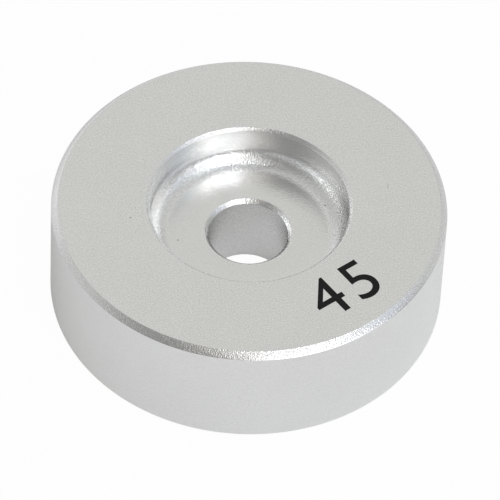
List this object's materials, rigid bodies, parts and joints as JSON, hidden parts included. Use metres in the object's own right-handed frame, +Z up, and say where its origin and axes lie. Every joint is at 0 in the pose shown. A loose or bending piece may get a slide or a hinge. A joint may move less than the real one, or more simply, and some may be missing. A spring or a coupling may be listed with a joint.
{
  "type": "record spindle adapter",
  "caption": "Turned aluminium plug that centres a large-hole record on a turntable's spindle, with a round-bottomed finger recess and a bore right through.",
  "frame": {"origin": "centre of the flat underside, on the axis of the bore", "axes": "+Z up along the axis of the bore, out of the finger recess; the body is round, so X and Y are equal"},
  "size_m": [0.038, 0.038, 0.0119],
  "materials": {
    "aluminium": "bead-blasted, bare",
    "print": "printed black ink"
  },
  "bodies": {
    "root": {"adapter_body": "aluminium"}
  },
  "joints": []
}
